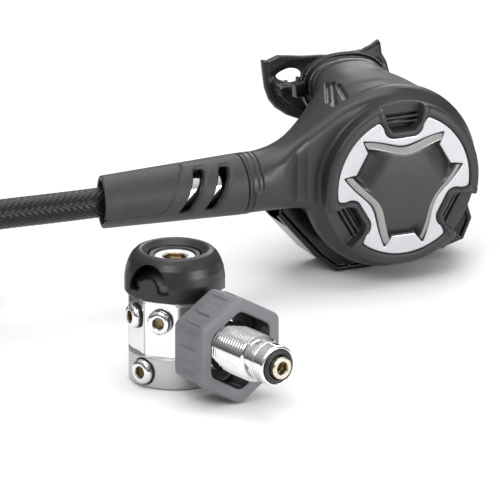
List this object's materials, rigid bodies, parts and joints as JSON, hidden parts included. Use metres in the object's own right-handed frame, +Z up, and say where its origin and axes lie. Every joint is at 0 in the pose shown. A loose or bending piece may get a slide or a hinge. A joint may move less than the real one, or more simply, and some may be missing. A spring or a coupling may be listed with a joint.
{
  "type": "scuba regulator set",
  "caption": "Scuba regulator set with a DIN first stage, a braided hose stored in a coil, and a second stage with purge button, mouthpiece and exhaust tee.",
  "frame": {"origin": "centre of the first stage's flat base, which stands on the table", "axes": "+Z up along the first stage's axis, the second stage's cover faces -Y and its hose arm runs along -X"},
  "size_m": [0.3978, 0.3233, 0.0955],
  "materials": {
    "satin_chrome": "satin pearl chrome",
    "black_plastic": "satin moulded",
    "chrome": "polished",
    "spring_steel": "drawn wire",
    "brass": "machined",
    "black_rubber": "satin",
    "white_plastic": "machined",
    "nickel": "nickel plated brass",
    "grey_rubber": "soft-touch moulded",
    "silver_trim": "satin silver",
    "black_satin": "satin",
    "grey_silicone": "translucent silicone",
    "gloss_black": "glossy",
    "black_silicone": "glossy silicone",
    "sleeve_rubber": "matt",
    "braid": "glossy nylon braid"
  },
  "bodies": {
    "first_stage": {"first_stage_body": "satin_chrome", "spring_cap": "black_plastic", "spring_chamber": "chrome", "main_spring": "spring_steel", "spring_pad": "brass", "balance_diaphragm": "black_rubber", "inlet_seat": "white_plastic", "inlet_spring": "spring_steel", "port_plugs": "chrome", "plug_orings": "black_rubber", "din_retainer": "nickel", "din_oring": "black_rubber", "inlet_filter": "brass"},
    "adjuster": {"adjuster": "chrome"},
    "din_wheel": {"din_wheel": "grey_rubber", "din_stud": "chrome"},
    "inlet_valve": {"inlet_poppet": "brass", "push_pin": "spring_steel"},
    "hose": {"swivel_stem": "chrome", "stem_oring": "black_rubber", "stem_ferrule": "chrome", "hose_tube": "braid", "hose_coil": "braid", "hose_tail": "braid", "fitting_ferrule": "chrome", "hose_fitting": "chrome", "fitting_oring": "black_rubber"},
    "sleeve": {"hose_sleeve": "sleeve_rubber"},
    "second_stage": {"second_stage_case": "black_plastic", "cover_ring": "black_plastic", "trim_ring": "silver_trim", "purge_spring": "spring_steel", "diaphragm": "grey_silicone", "diaphragm_clamp": "black_plastic", "valve_barrel": "nickel", "demand_spring": "spring_steel", "valve_orifice": "brass", "union_ring": "black_plastic", "exhaust_valve": "grey_silicone", "exhaust_tee": "gloss_black", "mouthpiece": "black_silicone", "mouthpiece_tie": "gloss_black", "swivel_nut": "chrome"},
    "purge": {"purge_button": "black_satin"},
    "disc": {"diaphragm_disc": "spring_steel"},
    "lever": {"demand_lever": "spring_steel"},
    "poppet": {"demand_poppet": "white_plastic"}
  },
  "joints": [
    {"name": "adjuster_turn", "type": "hinge", "parent": "first_stage", "child": "adjuster", "pos_m": [0, 0, 0.0568], "axis": [0, 0, 1], "range_deg": [-180, 180]},
    {"name": "din_wheel_turn", "type": "hinge", "parent": "first_stage", "child": "din_wheel", "pos_m": [0.01012, -0.04385, 0.0258], "axis": [0.225, -0.9744, 0], "continuous": true},
    {"name": "inlet_valve_open", "type": "slide", "parent": "first_stage", "child": "inlet_valve", "axis": [0, 0, -1], "range_m": [0, 0.0008], "stiffness_N_per_m": 400, "springref_m": -0.0005, "deforming": ["inlet_spring"]},
    {"name": "lift_hose_group", "type": "slide", "parent": "first_stage", "child": "hose", "axis": [0, 0, 1], "range_m": [0, 0.12]},
    {"name": "sleeve_slide", "type": "slide", "parent": "hose", "child": "sleeve", "axis": [-1, 0, 0], "range_m": [0, 0.025]},
    {"name": "second_stage_swivel", "type": "hinge", "parent": "hose", "child": "second_stage", "pos_m": [0.0795, 0.095, 0.056], "axis": [1, 0, 0], "continuous": true},
    {"name": "purge_press", "type": "slide", "parent": "second_stage", "child": "purge", "axis": [0, 1, 0], "range_m": [0, 0.0035], "stiffness_N_per_m": 500, "springref_m": -0.001, "deforming": ["purge_spring"]},
    {"name": "diaphragm_move", "type": "slide", "parent": "second_stage", "child": "disc", "axis": [0, 1, 0], "range_m": [0, 0.0036]},
    {"name": "lever_tilt", "type": "hinge", "parent": "second_stage", "child": "lever", "pos_m": [0.133, 0.095, 0.056], "axis": [0, 0, 1], "range_deg": [0, 9.5]},
    {"name": "poppet_slide", "type": "slide", "parent": "second_stage", "child": "poppet", "axis": [1, 0, 0], "range_m": [0, 0.0006], "deforming": ["demand_spring"]}
  ],
  "couplings": [
    {"joint": "diaphragm_move", "follows": "purge_press", "ratio": 1},
    {"joint": "lever_tilt", "follows": "purge_press", "rad_per_m": 45.7},
    {"joint": "poppet_slide", "follows": "purge_press", "ratio": 0.15}
  ]
}
